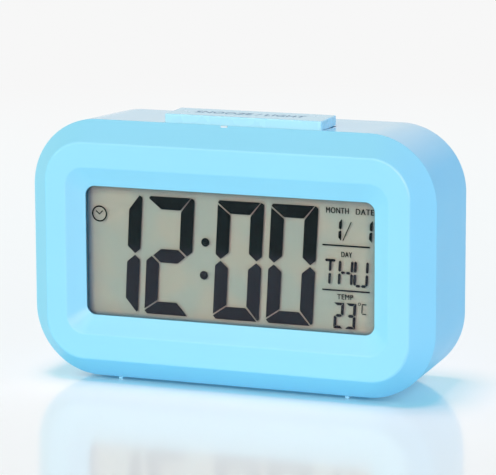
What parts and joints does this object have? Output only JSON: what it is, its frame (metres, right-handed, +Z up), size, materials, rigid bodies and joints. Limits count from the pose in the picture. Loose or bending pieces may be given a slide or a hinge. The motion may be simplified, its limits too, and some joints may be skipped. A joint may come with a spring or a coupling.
{
  "type": "digital alarm clock",
  "caption": "Free-standing desk alarm clock: rounded sky-blue case with a stepped bezel, wide liquid-crystal display and an off-centre snooze bar on top.",
  "frame": {"origin": "on the table, under the middle of the case's bounding box", "axes": "+X to the viewer's right along the face, +Y from the face to the back, +Z up"},
  "size_m": [0.135, 0.045, 0.0871],
  "materials": {
    "case_blue": "satin injection moulding, pale sky blue",
    "bar_blue": "satin injection moulding, lighter sky blue",
    "clear_lens": "clear polished acrylic",
    "lcd_glass": "thin float glass",
    "polarizer": "clear neutral polarizing film",
    "reflector": "grey-green transflective film",
    "light_guide": "clear acrylic with a frosted back",
    "white_plastic": "white moulding",
    "zebra_rubber": "striped silicone rubber",
    "circuit_board": "green solder mask on glass epoxy",
    "chip_epoxy": "glossy black epoxy",
    "switch_black": "black moulding",
    "crystal_can": "plain tinned can",
    "sensor_resin": "clear and milky resin",
    "cell_jacket": "dark printed jacket over a bright can",
    "contact_plate": "nickel-plated spring steel",
    "spring_wire": "bright spring wire",
    "screw_steel": "zinc-plated steel",
    "buzzer_black": "black moulding",
    "wire_red": "red wire insulation",
    "wire_black": "black wire insulation",
    "ribbon_grey": "grey flat cable"
  },
  "bodies": {
    "case": {"front_bezel": "case_blue", "rear_shell": "case_blue", "display_lens": "clear_lens", "front_polarizer": "polarizer", "lcd_front_glass": "lcd_glass", "lcd_rear_glass": "lcd_glass", "reflector_film": "reflector", "light_guide": "light_guide", "backlight_led_left": "sensor_resin", "backlight_led_right": "sensor_resin", "lcd_frame": "white_plastic", "zebra_connector": "zebra_rubber", "main_board": "circuit_board", "controller_chip": "chip_epoxy", "quartz_crystal": "crystal_can", "temperature_sensor": "chip_epoxy", "sensor_light_pipe": "sensor_resin", "light_sensor": "sensor_resin", "snooze_switch": "switch_black", "snooze_spring_left": "spring_wire", "snooze_spring_right": "spring_wire", "key_board": "circuit_board", "slide_switch": "crystal_can", "cell_upper": "cell_jacket", "cell_middle": "cell_jacket", "cell_lower": "cell_jacket", "contact_positive": "contact_plate", "contact_negative": "contact_plate", "contact_right_bridge": "contact_plate", "contact_left_bridge": "contact_plate", "battery_springs": "spring_wire", "buzzer": "buzzer_black", "buzzer_leads": "wire_black", "positive_lead": "wire_red", "negative_lead": "wire_black", "ribbon_cable": "ribbon_grey", "case_screws": "screw_steel", "board_screws": "screw_steel", "key_board_screws": "screw_steel", "mode_switch": "switch_black", "set_switch": "switch_black", "up_switch": "switch_black", "down_switch": "switch_black"},
    "snooze": {"snooze_bar": "bar_blue", "snooze_plunger": "white_plastic"},
    "alarm_slide": {"alarm_knob": "bar_blue", "slide_actuator": "switch_black"},
    "door": {"battery_door": "case_blue"},
    "mode_button": {"mode_key": "bar_blue", "mode_plunger": "white_plastic"},
    "set_button": {"set_key": "bar_blue", "set_plunger": "white_plastic"},
    "up_button": {"up_key": "bar_blue", "up_plunger": "white_plastic"},
    "down_button": {"down_key": "bar_blue", "down_plunger": "white_plastic"}
  },
  "joints": [
    {"name": "snooze_press", "type": "slide", "parent": "case", "child": "snooze", "axis": [0, 0, -1], "range_m": [0, 0.0008], "stiffness_N_per_m": 250, "springref_m": -0.002, "deforming": ["snooze_spring_left", "snooze_spring_right"]},
    {"name": "alarm_switch_slide", "type": "slide", "parent": "case", "child": "alarm_slide", "axis": [1, 0, 0], "range_m": [0, 0.004]},
    {"name": "battery_door_hinge", "type": "hinge", "parent": "case", "child": "door", "pos_m": [0, 0.0214, 0.01145], "axis": [-1, 0, 0], "range_deg": [0, 90]},
    {"name": "mode_press", "type": "slide", "parent": "case", "child": "mode_button", "axis": [0, -1, 0], "range_m": [0, 0.0005], "stiffness_N_per_m": 200, "springref_m": -0.001},
    {"name": "set_press", "type": "slide", "parent": "case", "child": "set_button", "axis": [0, -1, 0], "range_m": [0, 0.0005], "stiffness_N_per_m": 200, "springref_m": -0.001},
    {"name": "up_press", "type": "slide", "parent": "case", "child": "up_button", "axis": [0, -1, 0], "range_m": [0, 0.0005], "stiffness_N_per_m": 200, "springref_m": -0.001},
    {"name": "down_press", "type": "slide", "parent": "case", "child": "down_button", "axis": [0, -1, 0], "range_m": [0, 0.0005], "stiffness_N_per_m": 200, "springref_m": -0.001}
  ]
}
